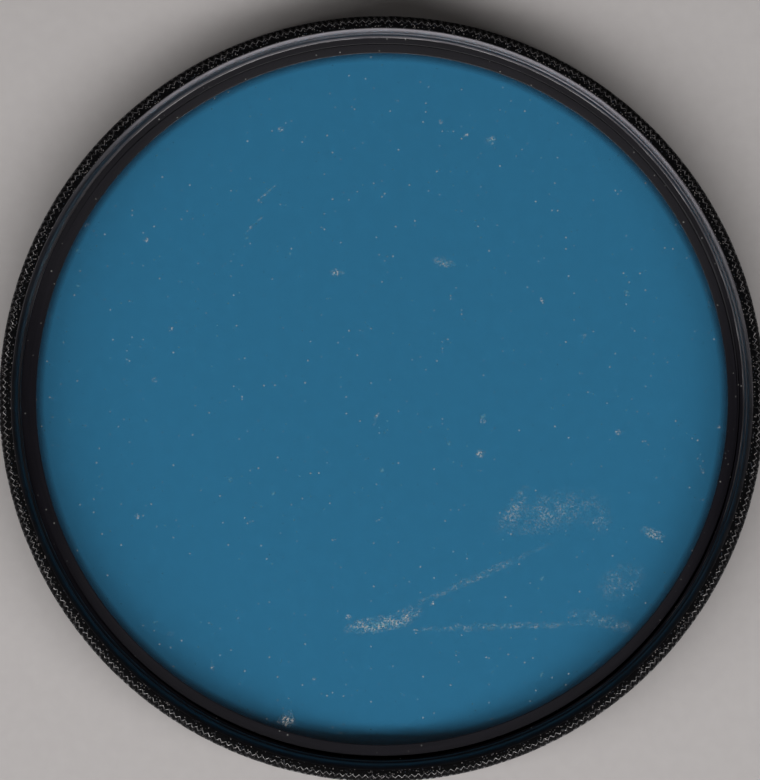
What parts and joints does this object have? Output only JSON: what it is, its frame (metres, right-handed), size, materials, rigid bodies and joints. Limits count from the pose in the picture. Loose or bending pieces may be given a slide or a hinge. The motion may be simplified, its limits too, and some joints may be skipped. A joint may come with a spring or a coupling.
{
  "type": "screw-in lens filter",
  "caption": "Round blue glass filter in a knurled black metal ring, with a front accessory thread, a rear lens thread and a threaded retaining ring.",
  "frame": {"origin": "on the axis, at the rear end of the lens thread", "axes": "+Z along the axis, out of the front of the filter towards the next accessory; X and Y across the ring"},
  "size_m": [0.065, 0.065, 0.0072],
  "materials": {
    "black_metal": "satin black, worn to bare metal on the knurl's edges",
    "grey_metal": "matte dark grey",
    "black_plastic": "matte",
    "blue_glass": "polished, a little dust and a few fine scratches"
  },
  "bodies": {
    "filter": {"filter_ring": "black_metal", "blue_glass": "blue_glass"},
    "slip_ring": {"slip_ring": "black_plastic"},
    "retainer": {"retaining_ring": "grey_metal"}
  },
  "joints": [
    {"name": "retainer_rise", "type": "slide", "parent": "filter", "child": "slip_ring", "axis": [0, 0, 1], "range_m": [0, 0.00151]},
    {"name": "retainer_turn", "type": "hinge", "parent": "slip_ring", "child": "retainer", "pos_m": [0, 0, 0.004], "axis": [0, 0, 1], "range_deg": [0, 720]}
  ],
  "couplings": [
    {"joint": "retainer_rise", "follows": "retainer_turn", "m_per_rad": 0.00011937}
  ]
}
